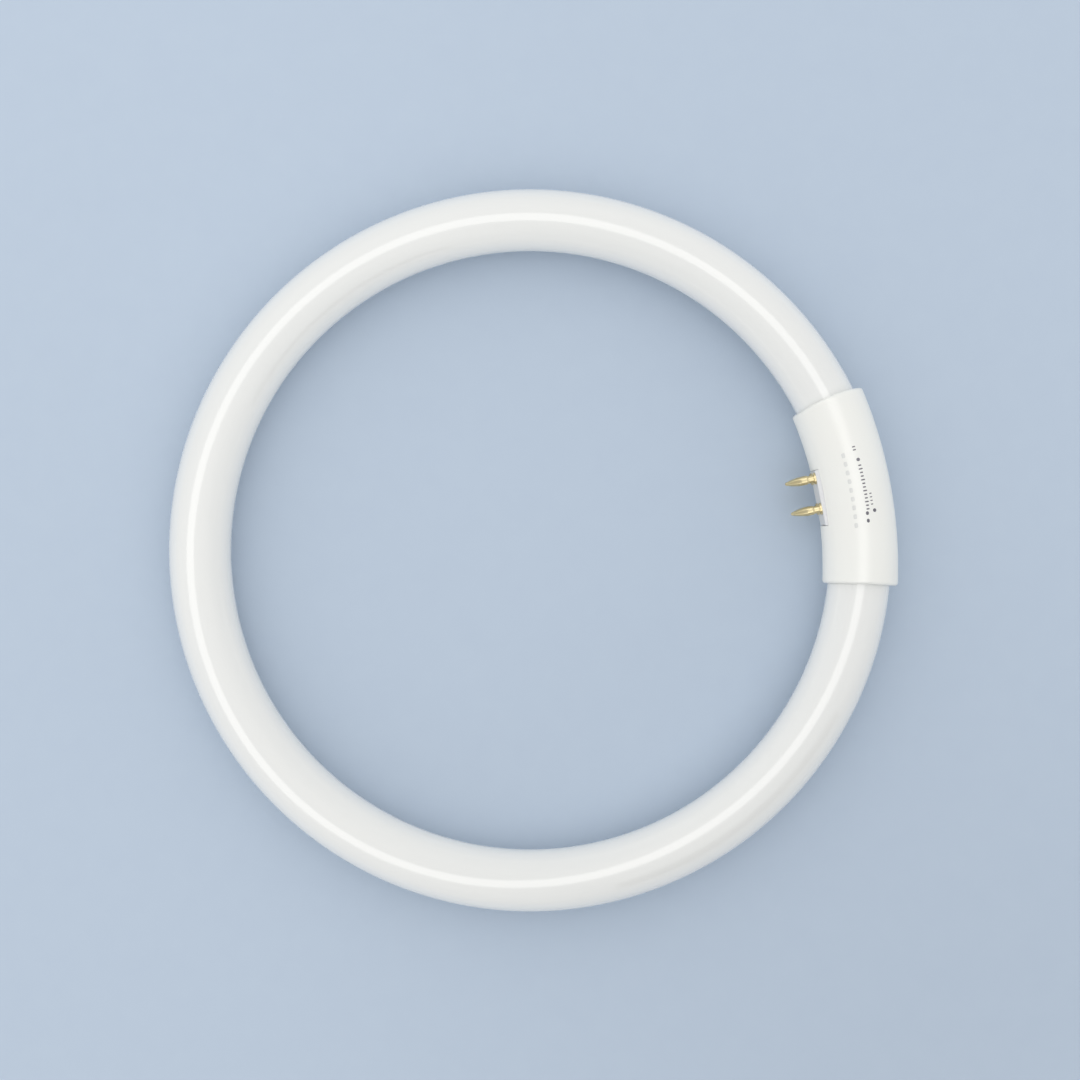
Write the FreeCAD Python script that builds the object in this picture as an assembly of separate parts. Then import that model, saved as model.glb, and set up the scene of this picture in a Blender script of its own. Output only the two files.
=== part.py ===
import FreeCAD, Part
import os
from math import cos, degrees, pi, radians, sin, sqrt, tan

# Ring-shaped fluorescent lamp: a glass tube bent to a circle, whose two ends meet inside a white collar.
# The collar is two moulded half sleeves, front (+Z) and rear (-Z), closed on each other round the glass.
# A block held in a window of the collar carries four brass contact pins that point at the ring's centre.
# Frame: millimetres, origin at the ring's centre, Z along the ring's axis, +X through the pins' centre.
# The ring lies flat, with its front up.

# Glass ring
ring_outer_diameter = 187.0
tube_diameter = 16.0
glass_gap = 25.4  # between the two glass ends, along the tube's centre line
glass_end_length = 3.0  # straight stretch at each end of the bent tube
rim_round = 2.0
funnel_mouth_diameter = 11.2
funnel_floor_diameter = 9.0
funnel_depth = 6.0
press_width = 8.2
press_thickness = 2.4
press_height = 1.6
exhaust_diameter = 2.6
exhaust_projection = 1.2  # how far the sealed exhaust tip stands past the rim

# Collar
collar_length = 48.4  # between the corners of its two ends, along the tube's centre line
collar_wall = 1.35  # mean thickness
collar_shift = 0.4  # at its middle, the outside is moved this far to the ring's centre
collar_bend_radius = 110.0  # of the outside's own axis, which is straighter than the ring
collar_offset = -1.2  # of the collar's middle from the pins' middle, along Y
upper_end_crown = 1.2  # how far the +Y end's lip runs on past its corners, front and rear
lower_end_crown = -0.3  # the same at the -Y end, where the lip falls short of the corners
collar_edge_round = 0.8
seat_clearance = 0.1  # glass to the band that grips it
seat_width = 3.0
cavity_clearance = 0.35  # glass to the sleeve between the bands
parting_gap = 0.06
lap_height = 0.8
lap_clearance = 0.05

# Posts that close the collar
post_diameter = 3.2
post_spacing = 10.0
post_outset = 4.6  # from the tube's centre line, away from the pins
spigot_diameter = 1.6
spigot_length = 2.5
spigot_root = 1.0  # inside its post
spigot_clearance = 0.05

# Contact pins, at the corners of a rectangle
pin_spacing_y = 7.92
pin_spacing_z = 6.35
pin_length = 7.25  # out of the block
pin_head_diameter = 2.35
pin_head_length = 1.4
pin_nose_length = 3.5
pin_nose_swell = 0.18  # of the nose's arc over a straight taper
pin_tip_diameter = 0.9
pin_shank_diameter = 1.96
pin_shoulder_length = 0.4
pin_flange_diameter = 3.0
pin_flange_thickness = 0.5
pin_stake_diameter = 2.8
pin_stake_thickness = 0.35
pin_tail_length = 1.6  # behind the block
pin_bore_depth = 4.6
pin_hole_clearance = 0.02

# Pin block and its window
block_length = 14.4
block_height = 9.8
block_depth = 5.55
block_inset = 0.3  # of the block's face behind the collar's inmost line
block_edge_round = 0.2
window_clearance = 0.1
tongue_setback = 2.65  # from the block's face
tongue_width = 1.5
tongue_reach = 0.9
tongue_height = 9.2
tongue_clearance = 0.08
cheek_skin = 0.8  # wall left behind the groove

# Leads, their sleeves and the adhesive
lead_diameter = 0.6
lead_bend_radius = 2.0
lead_end_depth = 4.0  # into the pin's bore
lead_clearance = 0.06
sleeve_diameter = 1.5
sleeve_start = 1.2  # from the glass press
sleeve_stop = 0.6  # before the pin's tail
adhesive_length = 3.5
adhesive_setback = 0.8  # from the nearer gripping band
bond_gap = 0.01

# Worked out from the sizes above
ring_radius = (ring_outer_diameter - tube_diameter) / 2
tube_radius = tube_diameter / 2
collar_axis_x = ring_radius - collar_shift
cavity_radius = tube_radius + cavity_clearance
collar_radius = cavity_radius + collar_wall
block_face_x = collar_axis_x - collar_radius + block_inset
block_rear_x = block_face_x + block_depth
pin_tail_x = block_rear_x + pin_tail_length
pin_bore_radius = lead_diameter / 2 + lead_clearance

ORIGIN = FreeCAD.Vector(0, 0, 0)
X_AXIS = FreeCAD.Vector(1, 0, 0)
Y_AXIS = FreeCAD.Vector(0, 1, 0)
Z_AXIS = FreeCAD.Vector(0, 0, 1)
INWARD = FreeCAD.Vector(-1, 0, 0)
FRONT = 1
REAR = -1
SPARE = 5.0  # how far a cutting tool runs past what it cuts


def one_solid(shape):
    """Returns the single solid that a chain of cuts and fusions leaves."""
    solids = shape.removeSplitter().Solids
    assert len(solids) == 1, "expected one solid, found %d" % len(solids)
    return solids[0]


def disc(radius, centre, normal):
    """A flat round face."""
    return Part.Face(Part.Wire([Part.makeCircle(radius, centre, normal)]))


def bent_rod(path_radius, section_radius, start, stop):
    """A round rod bent about Z, from one angle in degrees to another."""
    section = disc(section_radius, FreeCAD.Vector(path_radius, 0, 0), Y_AXIS)
    section.rotate(ORIGIN, Z_AXIS, start)
    return section.revolve(ORIGIN, Z_AXIS, stop - start)


def angle_of(arc_length):
    """Degrees about the ring's axis that a length along the tube's centre line takes."""
    return degrees(arc_length / ring_radius)


def box_between(low, high):
    """A box from its lowest to its highest corner."""
    size = [b - a for a, b in zip(low, high)]
    return Part.makeBox(size[0], size[1], size[2], FreeCAD.Vector(*low))


def mirrored(shape):
    """The same shape on the -Y side."""
    return shape.mirror(ORIGIN, Y_AXIS)


def half_space(side, limit):
    """A slab over the whole collar, on the front or rear side of the plane z = limit."""
    reach = collar_radius + SPARE
    wide = ring_radius + 2 * collar_radius
    if side == FRONT:
        return box_between((0, -wide, limit), (wide, wide, reach))
    return box_between((0, -wide, -reach), (wide, wide, limit))


# The glass tube

glass_arc_start = angle_of(glass_gap / 2 + glass_end_length)
glass_end_base = FreeCAD.Vector(
    ring_radius * cos(radians(glass_arc_start)), ring_radius * sin(radians(glass_arc_start)), 0
)
glass_end_axis = FreeCAD.Vector(sin(radians(glass_arc_start)), -cos(radians(glass_arc_start)), 0)
rim_centre = glass_end_base + glass_end_axis * glass_end_length
press_face = rim_centre - glass_end_axis * (funnel_depth - press_height)


def circle_edge_at(shape, centre):
    """The round edge of a shape that has the given centre."""
    rounds = [e for e in shape.Edges if hasattr(e.Curve, "Center")]
    return min(rounds, key=lambda e: e.Curve.Center.distanceToPoint(centre))


def glass_end_body():
    """The straight end of the tube, with its melted, rounded rim."""
    stub = Part.makeCylinder(tube_radius, glass_end_length, glass_end_base, glass_end_axis)
    return stub.makeFillet(rim_round, [circle_edge_at(stub, rim_centre)])


def glass_funnel():
    """The hollow of the flare, which runs back into the tube from the rim."""
    return Part.makeCone(
        funnel_mouth_diameter / 2,
        funnel_floor_diameter / 2,
        funnel_depth,
        rim_centre,
        glass_end_axis * -1,
    )


def glass_press():
    """The flattened end of the stem, where the two leads come through the glass."""
    floor = rim_centre - glass_end_axis * funnel_depth
    half_straight = (press_width - press_thickness) / 2
    round_half = press_thickness / 2
    slab = Part.makeBox(press_thickness, 2 * half_straight, press_height)
    slab.translate(FreeCAD.Vector(-round_half, -half_straight, 0))
    shape = slab
    for end in (-half_straight, half_straight):
        shape = shape.fuse(Part.makeCylinder(round_half, press_height, FreeCAD.Vector(0, end, 0)))
    shape = shape.removeSplitter()
    # local X goes across the end in the ring's plane, local Y goes to the front
    across = Z_AXIS.cross(glass_end_axis)
    turn = FreeCAD.Placement(FreeCAD.Matrix(
        across.x, Z_AXIS.x, glass_end_axis.x, floor.x,
        across.y, Z_AXIS.y, glass_end_axis.y, floor.y,
        across.z, Z_AXIS.z, glass_end_axis.z, floor.z,
        0, 0, 0, 1,
    ))
    shape.Placement = turn
    return shape


def exhaust_tip():
    """The sealed stub of the tube that the lamp was filled through."""
    radius = exhaust_diameter / 2
    floor = rim_centre - glass_end_axis * funnel_depth
    length = funnel_depth + exhaust_projection - radius
    stub = Part.makeCylinder(radius, length, floor, glass_end_axis)
    return stub.fuse(Part.makeSphere(radius, floor + glass_end_axis * length))


def glass_tube():
    """The sealed glass, as one solid with the true outside of its two ends."""
    shape = bent_rod(ring_radius, tube_radius, glass_arc_start, 360 - glass_arc_start)
    for place in (lambda s: s, mirrored):
        shape = shape.fuse(place(glass_end_body()))
        shape = shape.cut(place(glass_funnel()))
        shape = shape.fuse(place(glass_press()))
    return one_solid(shape.fuse(exhaust_tip()))


# The collar

lap_axis_x = (ring_radius + collar_axis_x) / 2
lap_bend_radius = (ring_radius + collar_bend_radius) / 2
lap_radius = (cavity_radius + collar_radius) / 2


def straighter_rod(axis_x, bend_radius, section_radius, length):
    """A round rod whose axis crosses +X at axis_x and bends less than the ring, centred on +X."""
    half_angle = degrees(length / 2 / bend_radius)
    rod = bent_rod(bend_radius, section_radius, -half_angle, half_angle)
    rod.translate(X_AXIS * (axis_x - bend_radius))
    return rod


def on_collar(shape):
    """A shape that is centred on +X, turned about the ring's axis to the collar's middle."""
    return shape.rotated(ORIGIN, Z_AXIS, angle_of(collar_offset))


def end_trimmer(crown):
    """What is cut off past the collar's +Y end: its face is an arc, seen along the radius."""
    reach = collar_radius + SPARE
    edge_y = crown * (reach / collar_radius) ** 2
    far_y = abs(edge_y) + SPARE
    low = FreeCAD.Vector(0, edge_y, -reach)
    top = FreeCAD.Vector(0, edge_y, reach)
    arc = Part.Arc(low, ORIGIN, top).toShape()
    sides = Part.makePolygon([top, FreeCAD.Vector(0, far_y, reach), FreeCAD.Vector(0, far_y, -reach), low])
    tool = Part.Face(Part.Wire([arc] + sides.Edges))
    tool = tool.extrude(X_AXIS * (2 * collar_radius + 2 * SPARE))
    tool.translate(FreeCAD.Vector(collar_bend_radius - collar_radius - SPARE, 0, 0))
    tool.rotate(ORIGIN, Z_AXIS, degrees(collar_length / 2 / collar_bend_radius))
    tool.translate(X_AXIS * (collar_axis_x - collar_bend_radius))
    return tool


def collar_outside():
    """The outer form of the closed collar, solid, with its shaped ends and their soft edges."""
    body = straighter_rod(collar_axis_x, collar_bend_radius, collar_radius, collar_length + 2 * SPARE)
    body = body.cut(end_trimmer(upper_end_crown))
    body = one_solid(body.cut(mirrored(end_trimmer(lower_end_crown))))
    rims = [e for e in body.Edges if e.Length > pi * collar_radius]
    return on_collar(body.makeFillet(collar_edge_round, rims))


def collar_cavity():
    """The room for the glass: a gripping band at each mouth and a wider stretch between."""
    long_way = angle_of(collar_length / 2 + 2 * SPARE)
    bore = bent_rod(ring_radius, tube_radius + seat_clearance, -long_way, long_way)
    inner = angle_of(collar_length / 2 - seat_width)
    return on_collar(bore.fuse(bent_rod(ring_radius, cavity_radius, -inner, inner)))


def lap_band(clearance, height):
    """The inner part of the wall that crosses the parting plane, as a solid bent bar."""
    length = collar_length - seat_width + 2 * clearance
    bar = on_collar(straighter_rod(lap_axis_x, lap_bend_radius, lap_radius + clearance, length))
    wide = ring_radius + 2 * collar_radius
    slab = box_between((0, -wide, -parting_gap / 2), (wide, wide, height + clearance))
    return bar.common(slab)


def block_window():
    """The opening in the collar's inner wall that the block shows through."""
    half_y = block_length / 2 + window_clearance
    half_z = block_height / 2 + window_clearance
    return box_between(
        (block_face_x - SPARE, collar_offset - half_y, -half_z),
        (block_rear_x + window_clearance, collar_offset + half_y, half_z),
    )


def cheeks():
    """The two walls beside the block, each with the groove that its tongue sits in."""
    depth = tongue_reach + tongue_clearance + cheek_skin
    inner_y = block_length / 2 + window_clearance
    low_x = block_face_x + tongue_setback - tongue_clearance - cheek_skin
    high_x = block_face_x + tongue_setback + tongue_width + tongue_clearance + cheek_skin
    groove_x = (block_face_x + tongue_setback - tongue_clearance,
                block_face_x + tongue_setback + tongue_width + tongue_clearance)
    groove_y = block_length / 2 + tongue_reach + tongue_clearance
    groove_z = tongue_height / 2 + tongue_clearance
    parts = []
    for way in (-1, 1):
        y_ends = sorted((collar_offset + way * inner_y, collar_offset + way * (inner_y + depth)))
        wall = box_between((low_x, y_ends[0], -collar_radius), (high_x, y_ends[1], collar_radius))
        y_ends = sorted((collar_offset, collar_offset + way * groove_y))
        groove = box_between((groove_x[0], y_ends[0], -groove_z), (groove_x[1], y_ends[1], groove_z))
        parts.append(wall.cut(groove))
    return parts


def post_places():
    """The two places, seen from the front, where a post closes the collar."""
    x = ring_radius + post_outset
    return [FreeCAD.Vector(x, y, 0) for y in (-post_spacing / 2, post_spacing / 2)]


def inside_of_wall():
    """A limit for what stands on the sleeve's wall, so that it never breaks through the outside."""
    return on_collar(straighter_rod(lap_axis_x, lap_bend_radius, lap_radius, collar_length))


def shell(side):
    """One half sleeve. The rear one carries the lap's tongue, the front one its rebate."""
    limit = side * parting_gap / 2
    body = collar_outside().common(half_space(side, limit))
    if side == FRONT:
        body = body.cut(lap_band(lap_clearance, lap_height))
    else:
        body = body.fuse(lap_band(0, lap_height - lap_clearance))
    body = body.cut(collar_cavity())
    body = body.cut(block_window())
    fittings = cheeks()
    for place in post_places():
        low = place - Z_AXIS * collar_radius
        fittings.append(Part.makeCylinder(post_diameter / 2, 2 * collar_radius, low, Z_AXIS))
    room = inside_of_wall().common(half_space(side, limit))
    for piece in fittings:
        body = body.fuse(piece.common(room))
    for place in post_places():
        if side == FRONT:
            start = place - Z_AXIS * spigot_length
            spigot = Part.makeCylinder(spigot_diameter / 2, spigot_length + spigot_root, start, Z_AXIS)
            body = body.fuse(spigot)
        else:
            depth = spigot_length + 2 * spigot_clearance
            start = place - Z_AXIS * depth
            hole = Part.makeCylinder(spigot_diameter / 2 + spigot_clearance, depth, start, Z_AXIS)
            body = body.cut(hole)
    return one_solid(body)


# The pin block and the pins


def pin_axes():
    """Where the four pins' axes cross the block's face, as y and z."""
    half_y = pin_spacing_y / 2
    half_z = pin_spacing_z / 2
    return [(half_y, half_z), (-half_y, half_z), (half_y, -half_z), (-half_y, -half_z)]


def pin_block():
    """The insulating block, with a tongue on each side and a hole for each pin."""
    half_y = block_length / 2
    half_z = block_height / 2
    body = box_between(
        (block_face_x, collar_offset - half_y, -half_z), (block_rear_x, collar_offset + half_y, half_z)
    )
    fronts = [e for e in body.Edges if e.BoundBox.XMax < block_face_x + block_edge_round]
    body = body.makeFillet(block_edge_round, fronts)
    low_x = block_face_x + tongue_setback
    tongue_y = half_y + tongue_reach
    tongues = box_between(
        (low_x, collar_offset - tongue_y, -tongue_height / 2),
        (low_x + tongue_width, collar_offset + tongue_y, tongue_height / 2),
    )
    body = body.fuse(tongues)
    hole_radius = pin_shank_diameter / 2 + pin_hole_clearance
    for y, z in pin_axes():
        start = FreeCAD.Vector(block_rear_x + SPARE, y, z)
        body = body.cut(Part.makeCylinder(hole_radius, block_depth + 2 * SPARE, start, INWARD))
    return one_solid(body)


def pin_profile():
    """The pin's outline from tail to tip, as a closed wire of x and radius with y standing for radius."""
    head_x = block_face_x - pin_length + pin_nose_length
    tip_x = block_face_x - pin_length
    shank = pin_shank_diameter / 2
    head = pin_head_diameter / 2
    flange = pin_flange_diameter / 2
    stake = pin_stake_diameter / 2
    tip = pin_tip_diameter / 2
    flange_x = block_face_x - pin_flange_thickness
    stake_x = block_rear_x + pin_stake_thickness
    shoulder_x = head_x + pin_head_length

    def at(x, r):
        return FreeCAD.Vector(x, r, 0)

    run = [
        at(pin_tail_x, pin_bore_radius),
        at(pin_tail_x, shank),
        at(stake_x, shank),
        at(stake_x, stake),
        at(block_rear_x, stake),
        at(block_rear_x, shank),
        at(block_face_x, shank),
        at(block_face_x, flange),
        at(flange_x, flange),
        at(flange_x, shank),
        at(shoulder_x + pin_shoulder_length, shank),
        at(shoulder_x, head),
        at(head_x, head),
    ]
    edges = Part.makePolygon(run).Edges
    nose_start = run[-1]
    nose_end = at(tip_x + tip, tip)
    nose_middle = at((nose_start.x + nose_end.x) / 2, (head + tip) / 2 + pin_nose_swell / 2)
    edges.append(Part.Arc(nose_start, nose_middle, nose_end).toShape())
    tip_middle = at(tip_x + tip * (1 - sqrt(0.5)), tip * sqrt(0.5))
    edges.append(Part.Arc(nose_end, tip_middle, at(tip_x, 0)).toShape())
    bore_x = pin_tail_x - pin_bore_depth
    back = Part.makePolygon([at(tip_x, 0), at(bore_x, 0), at(bore_x, pin_bore_radius), run[0]])
    return Part.Wire(edges + back.Edges)


def contact_pin(y, z):
    """One brass pin: tail with the bore for its lead, staked collar, flange, shank, head and nose."""
    turned = Part.Face(pin_profile()).revolve(ORIGIN, X_AXIS, 360)
    turned.translate(FreeCAD.Vector(0, y, z))
    return one_solid(turned)


# The leads, their sleeves and the adhesive


def rounded_path(corners, radius):
    """A wire through the corners, with an arc tangent to both runs at each inner corner."""
    edges = []
    start = corners[0]
    for before, corner, after in zip(corners, corners[1:], corners[2:]):
        arriving = (corner - before).normalize()
        leaving = (after - corner).normalize()
        half_turn = arriving.getAngle(leaving) / 2
        setback = radius * tan(half_turn)
        bisector = (leaving - arriving).normalize()
        centre = corner + bisector * (radius / cos(half_turn))
        first = corner - arriving * setback
        last = corner + leaving * setback
        edges.append(Part.LineSegment(start, first).toShape())
        edges.append(Part.Arc(first, centre - bisector * radius, last).toShape())
        start = last
    edges.append(Part.LineSegment(start, corners[-1]).toShape())
    return Part.Wire(edges)


def rod_along(path, radius):
    """A round rod that follows a path."""
    first = path.Edges[0]
    start = first.valueAt(first.FirstParameter)
    section = Part.Wire([Part.makeCircle(radius, start, first.tangentAt(first.FirstParameter))])
    return path.makePipeShell([section], True, False)


def lead_corners(z_side, start, stop_x):
    """The lead's route: straight out of the glass press to the pin's axis, and along that axis."""
    pin_y = pin_spacing_y / 2
    lift = Z_AXIS * (z_side * pin_spacing_z / 2)
    run = (press_face.y - pin_y) / -glass_end_axis.y
    return [
        press_face + glass_end_axis * start + lift,
        press_face + glass_end_axis * run + lift,
        FreeCAD.Vector(stop_x, pin_y, 0) + lift,
    ]


def on_pin_side(shape, y):
    """The shape as made for a pin at +Y, or mirrored for one at -Y."""
    return shape if y > 0 else mirrored(shape)


def lead_wire(y, z):
    """One lead, from the glass press into its pin's bore."""
    side = FRONT if z > 0 else REAR
    path = rounded_path(lead_corners(side, 0, pin_tail_x - lead_end_depth), lead_bend_radius)
    return one_solid(on_pin_side(rod_along(path, lead_diameter / 2), y))


def lead_sleeve(y, z):
    """The insulating sleeve over the open stretch of a lead."""
    side = FRONT if z > 0 else REAR
    path = rounded_path(lead_corners(side, sleeve_start, pin_tail_x + sleeve_stop), lead_bend_radius)
    outer = rod_along(path, sleeve_diameter / 2)
    inner = rod_along(path, lead_diameter / 2 + lead_clearance)
    return one_solid(on_pin_side(outer.cut(inner), y))


def adhesive_ring():
    """The bead that bonds the glass to the sleeve at the +Y end, further in than the gripping band."""
    stop = angle_of(collar_length / 2 - abs(collar_offset) - seat_width - adhesive_setback)
    start = stop - angle_of(adhesive_length)
    over = angle_of(SPARE)
    bead = bent_rod(ring_radius, cavity_radius - bond_gap, start, stop)
    bead = bead.cut(bent_rod(ring_radius, tube_radius + bond_gap, start - over, stop + over))
    glass_end = Part.makeCylinder(tube_radius + bond_gap, glass_end_length, glass_end_base, glass_end_axis)
    return one_solid(bead.cut(glass_end))


def build():
    """All sub-parts by name."""
    parts = {
        "glass_tube": glass_tube(),
        "front_shell": shell(FRONT),
        "rear_shell": shell(REAR),
        "pin_block": pin_block(),
        "adhesive_ring_1": adhesive_ring(),
        "adhesive_ring_2": mirrored(adhesive_ring()),
    }
    for number, (y, z) in enumerate(pin_axes(), 1):
        parts["contact_pin_%d" % number] = contact_pin(y, z)
        parts["lead_wire_%d" % number] = lead_wire(y, z)
        parts["lead_sleeve_%d" % number] = lead_sleeve(y, z)
    return parts


os.makedirs("parts", exist_ok=True)
for name, shape in build().items():
    shape.exportStep("parts/" + name + ".step")
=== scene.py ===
"""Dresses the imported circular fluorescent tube: finishes, fine surfaces, marks, light and camera.

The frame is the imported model's: metres, origin at the ring's centre, +Z to the front of the ring,
+X through the middle of the contact pins. Sizes here are written in millimetres and turned to metres
where a mesh, a lamp or a pattern is made.
"""

import logging
from dataclasses import dataclass, field
from enum import Enum

import bmesh
import bpy
import numpy as np
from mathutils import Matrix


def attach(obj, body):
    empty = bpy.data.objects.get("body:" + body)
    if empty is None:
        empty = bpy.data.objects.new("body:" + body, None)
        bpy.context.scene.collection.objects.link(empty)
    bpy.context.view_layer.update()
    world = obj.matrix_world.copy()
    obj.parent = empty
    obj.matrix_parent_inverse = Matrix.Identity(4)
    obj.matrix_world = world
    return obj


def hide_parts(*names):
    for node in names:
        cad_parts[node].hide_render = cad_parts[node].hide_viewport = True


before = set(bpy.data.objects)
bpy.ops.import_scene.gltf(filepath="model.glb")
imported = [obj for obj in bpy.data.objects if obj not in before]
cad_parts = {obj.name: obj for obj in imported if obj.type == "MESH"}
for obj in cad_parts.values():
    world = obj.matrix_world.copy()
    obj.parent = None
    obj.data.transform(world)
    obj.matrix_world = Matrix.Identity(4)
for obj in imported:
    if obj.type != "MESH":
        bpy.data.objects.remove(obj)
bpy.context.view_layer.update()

logging.basicConfig(level=logging.INFO, format="%(message)s")
log = logging.getLogger("ring_lamp")

Array = np.ndarray

ROOT = "root"  # the only body of a part with no joints
MM = 0.001  # metres in a millimetre
UP = np.array([0.0, 0.0, 1.0])
WHITE_LIGHT = "#FFFFFF"

# Sizes in millimetres that several classes share

RING_RADIUS = 85.5  # of the tube's centre line
TUBE_RADIUS = 8.0
COLLAR_AXIS_X = 85.1  # where the collar's own axis crosses its middle
COLLAR_RADIUS = 9.7


# Small tools for colours, nodes and meshes


def linear(hex_colour: str) -> tuple[float, float, float, float]:
    """Turns an sRGB hex colour to linear light, by the sRGB curve.

    Args:
        hex_colour: six hex digits after a hash sign.

    Returns:
        Red, green, blue and an alpha of 1.
    """
    digits = hex_colour.lstrip("#")
    coded = np.array([int(digits[at:at + 2], 16) for at in (0, 2, 4)]) / 255
    light = np.where(coded <= 0.04045, coded / 12.92, ((coded + 0.055) / 1.055) ** 2.4)
    return (*map(float, light), 1.0)


def per_metre(feature_mm: float) -> float:
    """Returns the scale at which a pattern on coordinates in metres repeats about every feature_mm."""
    return 1.0 / (feature_mm * MM)


def add_node(
    tree: bpy.types.NodeTree,
    kind: str,
    inputs: dict[str | int, object] | None = None,
    **settings: object,
) -> bpy.types.Node:
    """Adds a node with its settings, values and links.

    Args:
        tree: the node tree that the node goes into.
        kind: the node's type, as bpy names it.
        inputs: by socket name or number, a value to set or the output socket to link.
        settings: the node's own settings, such as an operation.

    Returns:
        The new node.
    """
    node = tree.nodes.new(kind)
    for name, value in settings.items():
        setattr(node, name, value)
    for socket, value in (inputs or {}).items():
        if isinstance(value, bpy.types.NodeSocket):
            tree.links.new(value, node.inputs[socket])
        else:
            node.inputs[socket].default_value = value
    return node


def full_turn(steps: int, shift: float = 0.0) -> Array:
    """Returns the angles of a full turn in even steps, in radians.

    Args:
        steps: how many angles.
        shift: how far the first lies from 0, in steps.

    Returns:
        The angles: the step's number plus the shift, times a full turn over the number of steps.
    """
    return (np.arange(steps) + shift) * 2 * np.pi / steps


def grid_faces(rows: int, columns: int, wrap: bool) -> list[tuple[int, ...]]:
    """Returns the quads of a grid of points numbered row by row.

    A quad joins point (i, j) to (i + 1, j), (i + 1, j + 1) and (i, j + 1). With wrap, the last column
    joins the first.

    Args:
        rows: how many rows of points.
        columns: how many points in a row.
        wrap: whether the rows are closed loops.

    Returns:
        Four point numbers per quad.
    """
    i = np.arange(rows - 1)[:, None]
    j = np.arange(columns if wrap else columns - 1)[None, :]
    after = (j + 1) % columns
    corners = (i * columns + j, (i + 1) * columns + j, (i + 1) * columns + after, i * columns + after)
    quads = np.stack([corner.ravel() for corner in corners], axis=1)
    return [tuple(quad) for quad in quads.tolist()]


@dataclass
class Surface:
    """Points and faces that are still arrays, in millimetres.

    Several surfaces are added up to one before they become a mesh.
    """

    points: Array
    faces: list[tuple[int, ...]]
    place: Array | None = None  # a second set of coordinates that a pattern can follow

    @classmethod
    def closed_rings(cls, rings: Array, place: Array | None = None) -> "Surface":
        """Joins rings of points to a closed skin, each end shut by a fan round a middle point.

        Args:
            rings: points by ring, by place on the ring, and by x, y, z.
            place: pattern coordinates of the same form.

        Returns:
            The closed surface.
        """
        count, around = rings.shape[:2]
        poles = rings[[0, -1]].mean(axis=1)
        points = np.concatenate([rings.reshape(-1, 3), poles])
        first_pole = count * around
        here = np.arange(around)
        after = (here + 1) % around
        last_ring = (count - 1) * around
        start_fan = np.stack([here, after, np.full(around, first_pole)], axis=1)
        end_fan = np.stack([last_ring + after, last_ring + here, np.full(around, first_pole + 1)], axis=1)
        faces = grid_faces(count, around, wrap=True)
        faces += [tuple(fan) for fan in np.concatenate([start_fan, end_fan]).tolist()]
        if place is not None:
            place = np.concatenate([place.reshape(-1, 3), place[[0, -1]].mean(axis=1)])
        return cls(points, faces, place)

    def __add__(self, other: "Surface") -> "Surface":
        """Puts two surfaces side by side in one.

        Args:
            other: the surface whose points follow this one's.

        Returns:
            Both as one surface.
        """
        offset = len(self.points)
        faces = self.faces + [tuple(corner + offset for corner in face) for face in other.faces]
        place = None
        if self.place is not None:
            place = np.concatenate([self.place, other.points if other.place is None else other.place])
        return Surface(np.concatenate([self.points, other.points]), faces, place)

    def to_object(self, name: str, smooth_below: float | None = 40.0) -> bpy.types.Object:
        """Makes a mesh object at the origin, with its faces turned outwards.

        Args:
            name: the piece's name.
            smooth_below: edges sharper than this many degrees stay sharp.

        Returns:
            The new object.
        """
        mesh = bpy.data.meshes.new(name)
        mesh.from_pydata((self.points * MM).tolist(), [], self.faces)
        if self.place is not None:
            values = mesh.attributes.new("place", "FLOAT_VECTOR", "POINT").data
            values.foreach_set("vector", (self.place * MM).astype(np.float32).ravel())
        work = bmesh.new()
        work.from_mesh(mesh)
        bmesh.ops.recalc_face_normals(work, faces=work.faces)
        work.to_mesh(mesh)
        work.free()
        mesh.polygons.foreach_set("use_smooth", np.full(len(mesh.polygons), True))
        if smooth_below is not None:
            mesh.set_sharp_from_angle(angle=float(np.radians(smooth_below)))
        piece = bpy.data.objects.new(name, mesh)
        bpy.context.scene.collection.objects.link(piece)
        return piece


# Finishes


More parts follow.
